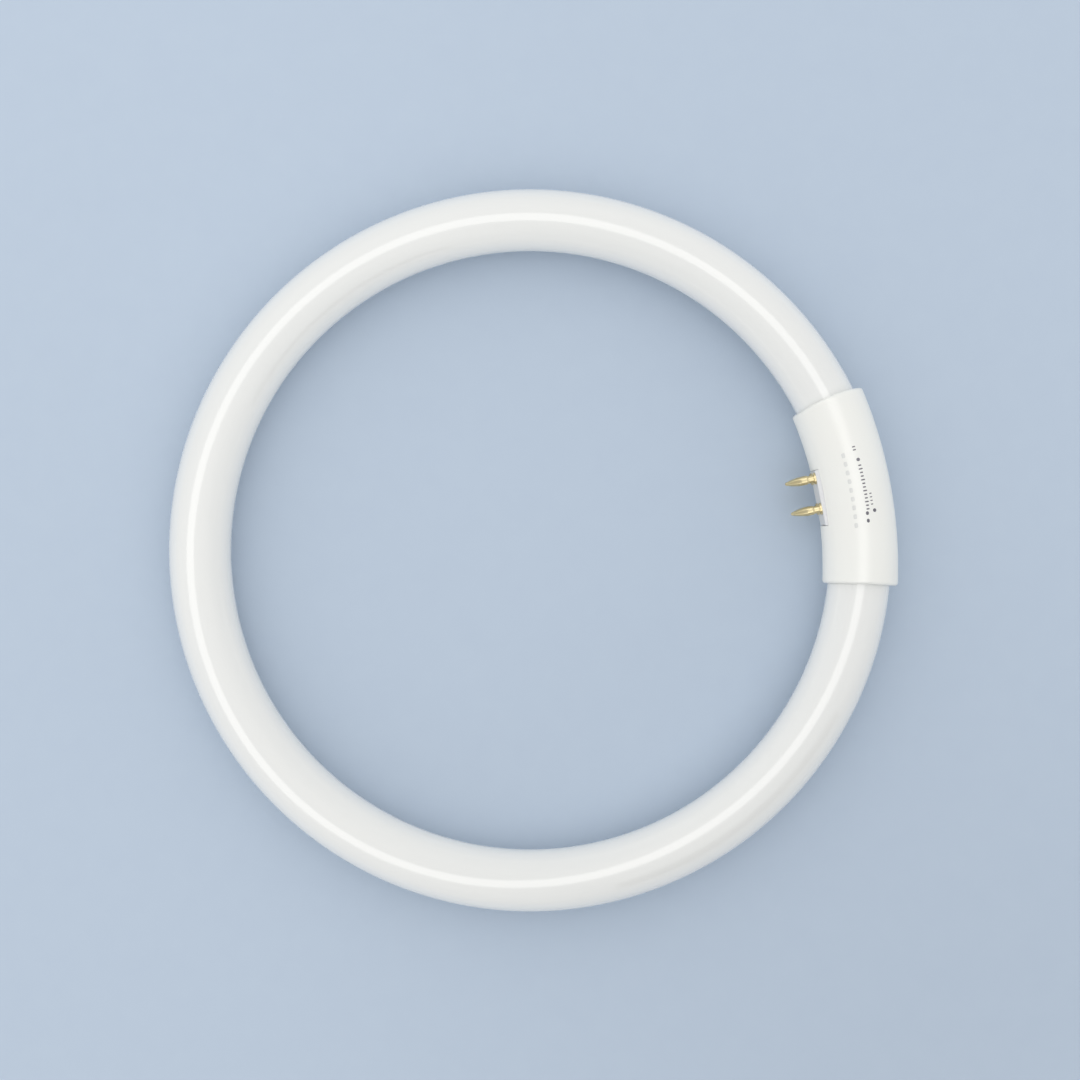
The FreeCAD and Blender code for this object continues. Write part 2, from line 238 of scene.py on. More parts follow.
@dataclass(frozen=True)
class Finish:
    """What a surface is made of, and how it was made.

    A subclass gives its values and adds its patterns.
    """

    name: str
    slot: str | None = None
    roughness: float = 0.5
    metallic: float = 0.0
    ior: float | None = None  # None keeps the shader's own, as metals do

    def make(self) -> bpy.types.Material:
        """Makes a material from the finish's values and patterns.

        Returns:
            The new material.
        """
        material = bpy.data.materials.new(self.name)
        material.use_nodes = True
        tree = material.node_tree
        tree.nodes.clear()
        values = {"Roughness": self.roughness, "Metallic": self.metallic}
        if self.ior is not None:
            values["IOR"] = self.ior
        shader = add_node(tree, "ShaderNodeBsdfPrincipled", values)
        self.dress(tree, shader)
        add_node(tree, "ShaderNodeOutputMaterial", {"Surface": shader.outputs["BSDF"]})
        return material

    def dress(self, tree: bpy.types.NodeTree, shader: bpy.types.Node) -> None:
        """Adds the patterns and links them to the shader.

        Args:
            tree: the material's node tree.
            shader: its Principled shader.
        """
        raise NotImplementedError

    def mottle(
        self,
        tree: bpy.types.NodeTree,
        shader: bpy.types.Node,
        size_mm: float,
        detail: float,
        colours: tuple[str, str],
        depth_mm: float | None = None,
    ) -> bpy.types.NodeSocket:
        """Mixes two colours by a noise through the solid, and raises the surface by the same noise.

        Args:
            tree: the material's node tree.
            shader: its Principled shader.
            size_mm: how far apart the noise's patches lie.
            detail: how many finer layers the noise has.
            colours: the hex colours where the noise is low and where it is high.
            depth_mm: how far the surface rises with the noise. None leaves it smooth.

        Returns:
            The noise, for other sockets to follow.
        """
        place = add_node(tree, "ShaderNodeTexCoord").outputs["Object"]
        noise = add_node(
            tree, "ShaderNodeTexNoise", {"Vector": place, "Scale": per_metre(size_mm), "Detail": detail}
        ).outputs["Fac"]
        low, high = colours
        colour = add_node(
            tree, "ShaderNodeMix", {0: noise, 6: linear(low), 7: linear(high)}, data_type="RGBA"
        )
        tree.links.new(colour.outputs[2], shader.inputs["Base Color"])
        if depth_mm is not None:
            bump = add_node(
                tree, "ShaderNodeBump", {"Height": noise, "Distance": depth_mm * MM, "Strength": 1.0}
            )
            tree.links.new(bump.outputs["Normal"], shader.inputs["Normal"])
        return noise

    def apply(self, *objects: bpy.types.Object) -> None:
        """Gives the objects this finish, with one material for all of them.

        Args:
            objects: the pieces that are made of it.
        """
        material = self.make()
        for item in objects:
            item.data.materials.clear()
            item.data.materials.append(material)


@dataclass(frozen=True)
class CoatedGlass(Finish):
    """Soda-lime glass, drawn and bent, with white powder baked on its inside.

    The powder gives an even, chalky white. The clear glass over it gives a crisp, narrow reflection
    that wavers a little, because drawn and bent glass is never quite round.
    """

    name: str = "coated_soda_lime_glass"
    slot: str | None = "glass"
    roughness: float = 0.16
    ior: float | None = 1.5
    clear_roughness: float = 0.04  # of the glass over the powder
    powder: str = "#F1F1EE"
    thin_powder: str = "#E9EAE8"
    streak_mm: tuple[float, float] = (70.0, 5.0)  # the powder's runs, along and across the tube
    waver_mm: tuple[float, float] = (38.0, 9.0)  # the glass's unevenness, along and across
    waver_depth_mm: float = 0.012

    def dress(self, tree: bpy.types.NodeTree, shader: bpy.types.Node) -> None:
        """Mixes the powder's whites in faint runs along the tube, and lays the wavering glass over it.

        Args:
            tree: the material's node tree.
            shader: its Principled shader.
        """
        place = add_node(tree, "ShaderNodeAttribute", attribute_name="place").outputs["Vector"]
        patterns = []
        for size_mm, detail in ((self.streak_mm, 3.0), (self.waver_mm, 1.0)):
            along, across = (per_metre(size) for size in size_mm)
            drawn = add_node(
                tree, "ShaderNodeMapping", {"Vector": place, "Scale": (along, across, across)}
            )
            noise = add_node(
                tree,
                "ShaderNodeTexNoise",
                {"Vector": drawn.outputs["Vector"], "Scale": 1.0, "Detail": detail},
            )
            patterns.append(noise.outputs["Fac"])
        runs, waver = patterns
        colour = add_node(
            tree,
            "ShaderNodeMix",
            {0: runs, 6: linear(self.thin_powder), 7: linear(self.powder)},
            data_type="RGBA",
        )
        bump = add_node(
            tree,
            "ShaderNodeBump",
            {"Height": waver, "Distance": self.waver_depth_mm * MM, "Strength": 1.0},
        )
        tree.links.new(colour.outputs[2], shader.inputs["Base Color"])
        tree.links.new(bump.outputs["Normal"], shader.inputs["Normal"])
        tree.links.new(bump.outputs["Normal"], shader.inputs["Coat Normal"])
        shader.inputs["Coat Weight"].default_value = 1.0
        shader.inputs["Coat Roughness"].default_value = self.clear_roughness
        shader.inputs["Coat IOR"].default_value = self.ior


@dataclass(frozen=True)
class MouldedShell(Finish):
    """White heat-proof polyester, injection moulded in a spark-eroded mould.

    It gives a satin white with a wide, soft reflection and a very fine grain.
    """

    name: str = "satin_moulded_polyester"
    slot: str | None = "collar_plastic"
    ior: float | None = 1.57
    white: str = "#F3F4F0"
    warm_white: str = "#F1F0EA"
    gloss: tuple[float, float] = (0.27, 0.285)  # roughness, from the grain's tops to its pits
    flow_mm: float = 22.0  # how far apart the paler and warmer flows of the melt lie
    grain_mm: float = 0.45  # real grain is about 0.1 mm, drawn coarser so that it shows
    grain_depth_mm: float = 0.001

    def dress(self, tree: bpy.types.NodeTree, shader: bpy.types.Node) -> None:
        """Sets the white with its faint flow marks, and the fine grain of the mould.

        Args:
            tree: the material's node tree.
            shader: its Principled shader.
        """
        whites = (self.white, self.warm_white)
        self.mottle(tree, shader, self.flow_mm, detail=2.0, colours=whites)
        place = add_node(tree, "ShaderNodeTexCoord").outputs["Object"]
        grain = add_node(
            tree, "ShaderNodeTexNoise", {"Vector": place, "Scale": per_metre(self.grain_mm), "Detail": 2.0}
        ).outputs["Fac"]
        bump = add_node(
            tree,
            "ShaderNodeBump",
            {"Height": grain, "Distance": self.grain_depth_mm * MM, "Strength": 1.0},
        )
        top, pit = self.gloss
        gloss = add_node(tree, "ShaderNodeMapRange", {"Value": grain, "To Min": top, "To Max": pit})
        tree.links.new(gloss.outputs["Result"], shader.inputs["Roughness"])
        tree.links.new(bump.outputs["Normal"], shader.inputs["Normal"])


@dataclass(frozen=True)
class PaintedShadeShell(MouldedShell):
    """The shell's own polyester on raised marks.

    Their greyer white is painted shade. It stands in for the faint shading that their low relief shows.
    """

    name: str = "painted_shade_moulded_polyester"
    # painted shade: a greyer white than the shell's own, where the relief's shading would fall
    white: str = "#E2E3E1"
    warm_white: str = "#DCDCD9"


@dataclass(frozen=True)
class MouldedBlock(Finish):
    """Pale grey phenolic, compression moulded and left matt.

    The mineral filler gives a dull, slightly mottled, cool grey.
    """

    name: str = "matt_phenolic"
    slot: str | None = "block_plastic"
    roughness: float = 0.55
    ior: float | None = 1.6
    dark_grey: str = "#DBDCDE"
    grey: str = "#E9EAEB"
    filler_mm: float = 0.5
    filler_depth_mm: float = 0.006

    def dress(self, tree: bpy.types.NodeTree, shader: bpy.types.Node) -> None:
        """Sets the mottled grey and the filler's fine relief."""
        greys = (self.dark_grey, self.grey)
        self.mottle(tree, shader, self.filler_mm, detail=4.0, colours=greys, depth_mm=self.filler_depth_mm)


@dataclass(frozen=True)
class TurnedBrass(Finish):
    """Free-cutting brass, turned on an automatic lathe and bright dipped.

    It gives a pale gold with fine rings from the tool and a soft, bright reflection along each pin.
    """

    name: str = "turned_brass"
    slot: str | None = "pin_brass"
    metallic: float = 1.0
    bright: str = "#F4E6BC"
    dull: str = "#DFCB98"
    gloss: tuple[float, float] = (0.24, 0.4)  # roughness, from bright to dull
    ring_mm: float = 0.32  # the tool's feed is about 0.08 mm, drawn coarser so that it shows
    ring_depth_mm: float = 0.0009
    ring_waver: float = 0.4
    tarnish_mm: float = 1.6

    def dress(self, tree: bpy.types.NodeTree, shader: bpy.types.Node) -> None:
        """Sets the metal with faint tarnish, and rings round each pin's axis, which lies along X.

        Args:
            tree: the material's node tree.
            shader: its Principled shader.
        """
        tarnish = self.mottle(tree, shader, self.tarnish_mm, detail=3.0, colours=(self.bright, self.dull))
        bright, dull = self.gloss
        gloss = add_node(tree, "ShaderNodeMapRange", {"Value": tarnish, "To Min": bright, "To Max": dull})
        place = add_node(tree, "ShaderNodeTexCoord").outputs["Object"]
        rings = add_node(
            tree,
            "ShaderNodeTexWave",
            {"Vector": place, "Scale": per_metre(self.ring_mm) / (2 * np.pi), "Distortion": self.ring_waver},
            wave_type="BANDS",
            bands_direction="X",
            wave_profile="SIN",
        )
        bump = add_node(
            tree,
            "ShaderNodeBump",
            {"Height": rings.outputs["Fac"], "Distance": self.ring_depth_mm * MM, "Strength": 1.0},
        )
        tree.links.new(gloss.outputs["Result"], shader.inputs["Roughness"])
        tree.links.new(bump.outputs["Normal"], shader.inputs["Normal"])


@dataclass(frozen=True)
class TinnedWire(Finish):
    """Copper wire with a drawn, dipped coat of tin.

    It gives a soft white metal with the slight lumps of the dip.
    """

    name: str = "tinned_copper"
    slot: str | None = "tinned_wire"
    roughness: float = 0.32
    metallic: float = 1.0
    dull: str = "#AEAEA9"
    bright: str = "#D2D2CE"
    dip_mm: float = 0.5
    dip_depth_mm: float = 0.004

    def dress(self, tree: bpy.types.NodeTree, shader: bpy.types.Node) -> None:
        """Sets the tin with its lumps."""
        tins = (self.dull, self.bright)
        self.mottle(tree, shader, self.dip_mm, detail=2.0, colours=tins, depth_mm=self.dip_depth_mm)


@dataclass(frozen=True)
class WovenSleeve(Finish):
    """Glass-fibre yarn, braided to a tube and dipped in varnish.

    The braid gives a cream sheen broken by fine crossing yarns.
    """

    name: str = "braided_glass_fibre"
    slot: str | None = "fibre_sleeve"
    sheen: float = 0.2
    yarn: str = "#EAE6D8"
    gap: str = "#BDB7A2"
    yarn_mm: float = 0.3
    yarn_depth_mm: float = 0.03
    lean: float = 0.8  # of the yarns, in radians

    def dress(self, tree: bpy.types.NodeTree, shader: bpy.types.Node) -> None:
        """Sets two sets of yarns that cross, one leaning each way.

        Args:
            tree: the material's node tree.
            shader: its Principled shader.
        """
        place = add_node(tree, "ShaderNodeTexCoord").outputs["Object"]
        heights = []
        for lean in (-self.lean, self.lean):
            turned = add_node(tree, "ShaderNodeMapping", {"Vector": place, "Rotation": (lean, lean, lean)})
            yarns = add_node(
                tree,
                "ShaderNodeTexWave",
                {"Vector": turned.outputs["Vector"], "Scale": per_metre(self.yarn_mm) / (2 * np.pi)},
                wave_type="BANDS",
                bands_direction="X",
                wave_profile="SIN",
            )
            heights.append(yarns.outputs["Fac"])
        braid = add_node(
            tree, "ShaderNodeMath", {0: heights[0], 1: heights[1]}, operation="MAXIMUM"
        ).outputs["Value"]
        colour = add_node(
            tree, "ShaderNodeMix", {0: braid, 6: linear(self.gap), 7: linear(self.yarn)}, data_type="RGBA"
        )
        bump = add_node(
            tree, "ShaderNodeBump", {"Height": braid, "Distance": self.yarn_depth_mm * MM, "Strength": 1.0}
        )
        tree.links.new(colour.outputs[2], shader.inputs["Base Color"])
        tree.links.new(bump.outputs["Normal"], shader.inputs["Normal"])
        shader.inputs["Sheen Weight"].default_value = self.sheen


@dataclass(frozen=True)
class CuredSilicone(Finish):
    """Silicone adhesive, squeezed in and cured.

    It gives a milky, rubbery surface with small rises.
    """

    name: str = "cured_silicone"
    slot: str | None = "silicone"
    roughness: float = 0.38
    ior: float | None = 1.41
    clear: str = "#CFCFCB"
    milky: str = "#E2E2DE"
    rise_mm: float = 1.8
    rise_depth_mm: float = 0.05

    def dress(self, tree: bpy.types.NodeTree, shader: bpy.types.Node) -> None:
        """Sets the milky rubber and its uneven surface."""
        rubbers = (self.clear, self.milky)
        self.mottle(tree, shader, self.rise_mm, detail=3.0, colours=rubbers, depth_mm=self.rise_depth_mm)


@dataclass(frozen=True)
class PadInk(Finish):
    """Pad-printing ink, a few hundredths thick.

    It gives a soft black that thins to grey where less ink came off the pad.
    """

    name: str = "pad_printed_ink"
    full: str = "#3A3840"
    thin: str = "#8F8D96"
    patch_mm: float = 0.7

    def dress(self, tree: bpy.types.NodeTree, shader: bpy.types.Node) -> None:
        """Sets the ink with its thinner patches."""
        self.mottle(tree, shader, self.patch_mm, detail=2.0, colours=(self.full, self.thin))


@dataclass(frozen=True)
class PaintedFloor(Finish):
    """A board painted a pale matt blue-grey.

    The even, rolled paint keeps the ring's soft shadow and stays quiet behind its white.
    """

    name: str = "matt_painted_board"
    roughness: float = 0.85
    specular: float = 0.2
    paint: str = "#B9C7D8"
    rolled: str = "#BCCADA"
    roll_mm: float = 6.0

    def dress(self, tree: bpy.types.NodeTree, shader: bpy.types.Node) -> None:
        """Sets the paint with the roller's faint unevenness."""
        self.mottle(tree, shader, self.roll_mm, detail=3.0, colours=(self.paint, self.rolled))
        shader.inputs["Specular IOR Level"].default_value = self.specular


@dataclass(frozen=True)
class BlackCard(PaintedFloor):
    """A card painted matt black.

    It throws hardly any light back, so the glass looks darker on the side that it faces.
    """

    name: str = "matt_black_card"
    paint: str = "#242426"
    rolled: str = "#2C2C2E"


# The object


def numbered_nodes(name: str, count: int) -> list[bpy.types.Object]:
    """Returns the CAD nodes whose names end in 1 to count."""
    return [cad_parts[f"{name}_{number}"] for number in range(1, count + 1)]


@dataclass
class GlassRing:
    """The glass tube, bent to an open circle, with the true form of its two sealed ends.

    Each end is straight for its last few millimetres. Its rim is rounded, a funnel runs back into it,
    and a flattened press closes the funnel's floor. One end also has the stub of its exhaust tube.
    """

    ring_radius: float = RING_RADIUS
    tube_radius: float = TUBE_RADIUS
    gap: float = 25.4  # between the two ends, along the tube's centre line
    straight: float = 3.0
    rim_round: float = 2.0
    funnel_mouth: float = 5.6  # radius
    funnel_floor: float = 4.5  # radius
    funnel_depth: float = 6.0
    press_half_width: float = 4.1
    press_half_thickness: float = 1.2
    press_height: float = 1.6
    press_bevel: float = 0.3
    exhaust_radius: float = 1.3
    exhaust_stand: float = 1.2  # how far the stub stands past the rim
    sunk: float = 0.05  # how far the press and the stub reach into the funnel's floor
    around: int = 96
    stations: int = 660
    rim_steps: int = 12
    press_around: int = 48
    stub_around: int = 32
    stub_steps: int = 9
    finish: Finish = field(default_factory=CoatedGlass)

    def start_angle(self) -> float:
        """Returns the angle, in radians, where the bend begins at the +Y end."""
        return (self.gap / 2 + self.straight) / self.ring_radius

    def end_frame(self) -> tuple[Array, Array, Array]:
        """Places the +Y end.

        Returns:
            Its rim's centre, its direction out of the tube, and its direction out of the ring.
        """
        angle = self.start_angle()
        outwards = np.array([np.cos(angle), np.sin(angle), 0.0])
        axis = np.array([np.sin(angle), -np.cos(angle), 0.0])
        return outwards * self.ring_radius + axis * self.straight, axis, outwards

    def end_profile(self) -> Array:
        """Draws one end's outline, from the funnel's floor round the rim to the bend.

        The rim is a quarter circle: its depth is the round's radius less the radius times the cosine,
        and its distance from the axis is the flat's radius plus the round's times the sine.

        Returns:
            Depth behind the rim and distance from the tube's axis, point by point.
        """
        turn = np.linspace(0, np.pi / 2, self.rim_steps + 1)
        flat = self.tube_radius - self.rim_round
        rim = np.stack([self.rim_round * (1 - np.cos(turn)), flat + self.rim_round * np.sin(turn)], axis=1)
        funnel = [[self.funnel_depth, self.funnel_floor], [0.0, self.funnel_mouth]]
        return np.concatenate([funnel, rim])

    def skin(self) -> Surface:
        """Carries a circle along the tube, over its rims and into its funnels.

        Each point is the centre line's point, plus the radius times the cosine of the section's angle
        along the ring's outward direction, plus the radius times its sine along Z.

        Returns:
            The closed skin, with its place along and across the tube for patterns.
        """
        rim_centre, axis, outwards = self.end_frame()
        profile = self.end_profile()
        end_centres = rim_centre - axis * profile[:, :1]
        end_out = np.repeat(outwards[None], len(profile), axis=0)
        first = self.start_angle()
        angles = np.linspace(first, 2 * np.pi - first, self.stations)
        bend_out = np.stack([np.cos(angles), np.sin(angles), np.zeros_like(angles)], axis=1)
        flip = np.array([1.0, -1.0, 1.0])
        centres = np.concatenate([end_centres, bend_out * self.ring_radius, (end_centres * flip)[::-1]])
        out = np.concatenate([end_out, bend_out, (end_out * flip)[::-1]])
        bend_radii = np.full(self.stations, self.tube_radius)
        radii = np.concatenate([profile[:, 1], bend_radii, profile[::-1, 1]])
        length = self.ring_radius * (2 * np.pi - 2 * first)
        along = np.concatenate([
            profile[:, 0] - self.straight,
            np.linspace(0, length, self.stations),
            length + self.straight - profile[::-1, 0],
        ])
        section = full_turn(self.around)
        across = radii[:, None] * np.cos(section)
        rise = radii[:, None] * np.sin(section)
        rings = centres[:, None] + across[..., None] * out[:, None] + rise[..., None] * UP
        place = np.stack([np.broadcast_to(along[:, None], across.shape), across, rise], axis=2)
        return Surface.closed_rings(rings, place)

    def press(self, side: int) -> Surface:
        """Carries a stadium outline up from the funnel's floor.

        The outline is the press's half thickness round a straight line, so its point at an angle is the
        radius in that direction, moved along the line to the end that the direction points at.

        Args:
            side: 1 for the +Y end, -1 for the -Y end.

        Returns:
            The closed press.
        """
        rim_centre, axis, outwards = self.end_frame()
        angle = full_turn(self.press_around, shift=0.5)
        reach = self.press_half_width - self.press_half_thickness
        heights = np.array([-self.sunk, self.press_height - self.press_bevel, self.press_height])
        shrink = np.array([0.0, 0.0, self.press_bevel])
        half = (self.press_half_thickness - shrink)[:, None]
        along_ring = half * np.cos(angle)
        to_front = half * np.sin(angle) + reach * np.sign(np.sin(angle))
        floor = rim_centre - axis * self.funnel_depth
        section = along_ring[..., None] * outwards + to_front[..., None] * UP
        rings = floor + heights[:, None, None] * axis + section
        return Surface.closed_rings(rings * np.array([1.0, side, 1.0]))

    def exhaust_stub(self) -> Surface:
        """Turns the stub's outline about its own axis.

        The outline is straight and ends in a quarter circle: its height there is the straight part's
        plus the radius times the sine, and its distance from the axis the radius times the cosine.

        Returns:
            The closed stub, at the +Y end.
        """
        rim_centre, axis, outwards = self.end_frame()
        floor = rim_centre - axis * self.funnel_depth
        straight = self.funnel_depth + self.exhaust_stand - self.exhaust_radius
        turn = np.linspace(0, np.pi / 2, self.stub_steps, endpoint=False)
        heights = np.concatenate([[-self.sunk], straight + self.exhaust_radius * np.sin(turn)])
        radii = np.concatenate([[self.exhaust_radius], self.exhaust_radius * np.cos(turn)])
        angle = full_turn(self.stub_around)[:, None]
        sideways = np.cos(angle) * outwards + np.sin(angle) * UP
        rings = floor + heights[:, None, None] * axis + radii[:, None, None] * sideways
        return Surface.closed_rings(rings)

    def build(self) -> bpy.types.Object:
        """Makes the glass as one piece, which stands for its CAD node.

        Returns:
            The glass.
        """
        glass = self.skin() + self.press(1) + self.press(-1) + self.exhaust_stub()
        piece = glass.to_object("ring_glass")
        self.finish.apply(piece)
        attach(piece, ROOT)
        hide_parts("glass_tube")
        return piece


class Outline(Enum):
    """The power of a stamp's outline: 2 is an ellipse, and more comes nearer to a rectangle."""

    BAR = 4.0
    PILL = 2.4
    DOT = 2.0


@dataclass(frozen=True)
class Stamp:
    """One small raised patch on the collar, seen from the front."""

    arc: float  # from the pins' middle, along the collar's crest, towards +Y
    out: float  # from the crest, away from the ring's centre
    half_along: float
    half_across: float
    outline: Outline = Outline.BAR


@dataclass
class Collar:
    """The two half sleeves over the ring's ends, and what is printed and moulded on the front one.

    The marks are plain bars and dots, of ink and of the shell's own plastic.
    """

    ring_radius: float = RING_RADIUS
    axis_x: float = COLLAR_AXIS_X
    outer_radius: float = COLLAR_RADIUS
    bend_radius: float = 110.0  # of the collar's own axis, which is straighter than the ring
    offset: float = -1.2  # of the collar's middle from the pins' middle
    ink_height: float = 0.02
    ink_pitch: float = 0.93
    moulded_height: float = 0.09
    moulded_pitch: float = 2.3
    rooted: float = 0.06  # how far a mark reaches under the collar's surface
    soft_edge: float = 0.6  # a mark's height at its edge, as a share of its full height
    mark_around: int = 24
    shell_finish: Finish = field(default_factory=MouldedShell)
    # the raised marks' plastic, its greyer white painted shade
    painted_shade_finish: Finish = field(default_factory=PaintedShadeShell)
    ink: Finish = field(default_factory=PadInk)

    def ink_marks(self) -> list[Stamp]:
        """Lays out the print: a row of fine bars, every third one longer, with heavier marks round it.

        Returns:
            The fine bars, the two before them, the second row, and the heavy marks.
        """
        fine = [
            Stamp(arc, out=1.55, half_along=0.17, half_across=0.40 + 0.12 * (number % 3 == 1))
            for number, arc in enumerate(np.arange(5.0, -6.2, -self.ink_pitch))
        ]
        first = [Stamp(arc, out=1.2, half_along=0.16, half_across=0.4) for arc in (9.9, 9.1)]
        second_row = [
            Stamp(arc, out=2.8, half_along=0.13, half_across=0.32) for arc in (-2.4, -3.3, -4.2, -5.1)
        ]
        heavy = [
            Stamp(6.5, out=1.5, half_along=0.42, half_across=0.46, outline=Outline.PILL),
            Stamp(-7.2, out=1.25, half_along=0.46, half_across=0.4, outline=Outline.PILL),
            Stamp(-9.1, out=1.25, half_along=0.48, half_across=0.38, outline=Outline.PILL),
            Stamp(-6.7, out=3.25, half_along=0.46, half_across=0.46, outline=Outline.DOT),
        ]
        return fine + first + second_row + heavy

    def moulded_marks(self) -> list[Stamp]:
        """Returns the faint raised row beside the print."""
        arcs = np.arange(8.4, -10.2, -self.moulded_pitch)
        return [Stamp(arc, out=-1.9, half_along=0.62, half_across=0.45) for arc in arcs]

    def on_collar(self, along: Array, section: Array, radius: Array) -> Array:
        """Lays points round the collar's own bent axis.

        The distance from the bend's centre is the bend's radius plus the radius times the sine of the
        section's angle, and the height is the radius times its cosine. The arc turns the point about
        the bend's centre, and the collar's offset then turns it about the ring's centre.

        Args:
            along: arc from the pins' middle, along the collar's axis.
            section: angle round that axis, from the front towards the ring's outside, in radians.
            radius: distance from that axis.

        Returns:
            Points in millimetres.
        """
        from_bend = self.bend_radius + radius * np.sin(section)
        turn = (along - self.offset) / self.bend_radius
        x = self.axis_x - self.bend_radius + from_bend * np.cos(turn)
        y = from_bend * np.sin(turn)
        back = self.offset / self.ring_radius
        return np.stack([
            x * np.cos(back) - y * np.sin(back),
            x * np.sin(back) + y * np.cos(back),
            radius * np.cos(section),
        ], axis=2)

    def raised(self, stamps: list[Stamp], height: float) -> Surface:
        """Raises a soft-edged patch on the collar for each stamp.

        A patch is a rounded rectangle, whose radius in a direction is one over the n-th root of the sum
        of the n-th powers of its cosine and sine. Its rings step from near its middle out to its edge,
        and then down into the wall.

        Args:
            stamps: where the patches lie, and how large they are.
            height: how far they stand out of the collar.

        Returns:
            All the patches as one surface.
        """
        angle = full_turn(self.mark_around)
        share = np.array([0.5, 0.85, 1.0, 1.0])[:, None]
        rise = np.array([height, height, height * self.soft_edge, -self.rooted])[:, None]
        total = None
        for stamp in stamps:
            power = stamp.outline.value
            edge = (np.abs(np.cos(angle)) ** power + np.abs(np.sin(angle)) ** power) ** (-1 / power)
            along = stamp.arc + stamp.half_along * share * edge * np.cos(angle)
            across = stamp.half_across * share * edge * np.sin(angle)
            section = np.arcsin(stamp.out / self.outer_radius) + across / self.outer_radius
            patch = Surface.closed_rings(self.on_collar(along, section, self.outer_radius + rise))
            total = patch if total is None else total + patch
        return total

    def build(self) -> list[bpy.types.Object]:
        """Dresses both shells and lays the marks on the front one.

        Returns:
            The printed marks and the moulded ones.
        """
        self.shell_finish.apply(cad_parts["front_shell"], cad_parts["rear_shell"])
        print_piece = self.raised(self.ink_marks(), self.ink_height).to_object("printed_marks")
        self.ink.apply(print_piece)
        moulded_piece = self.raised(self.moulded_marks(), self.moulded_height).to_object("moulded_marks")
        # the moulded marks take the shell's plastic with a greyer white of painted shade
        self.painted_shade_finish.apply(moulded_piece)
        for piece in (print_piece, moulded_piece):
            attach(piece, ROOT)
        return [print_piece, moulded_piece]


@dataclass
class Contacts:
    """The block in the collar's window, and the four pins that it carries."""

    pins: int = 4
    block_finish: Finish = field(default_factory=MouldedBlock)
    pin_finish: Finish = field(default_factory=TurnedBrass)

    def build(self) -> None:
        """Dresses the block and the pins."""
        self.block_finish.apply(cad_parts["pin_block"])
        self.pin_finish.apply(*numbered_nodes("contact_pin", self.pins))


@dataclass
class Wiring:
    """What the closed collar hides: the leads, their sleeves and the bonds round the glass."""

    leads: int = 4
    bonds: int = 2
    wire_finish: Finish = field(default_factory=TinnedWire)
    sleeve_finish: Finish = field(default_factory=WovenSleeve)
    bond_finish: Finish = field(default_factory=CuredSilicone)

    def build(self) -> None:
        """Dresses the leads, the sleeves and the bonds."""
        self.wire_finish.apply(*numbered_nodes("lead_wire", self.leads))
        self.sleeve_finish.apply(*numbered_nodes("lead_sleeve", self.leads))
        self.bond_finish.apply(*numbered_nodes("adhesive_ring", self.bonds))


# The studio


class Ray(Enum):
    """The kinds of ray that see the backdrop instead of the tent's light."""

    CAMERA = "Is Camera Ray"
    GLOSSY = "Is Glossy Ray"
    TRANSMISSION = "Is Transmission Ray"


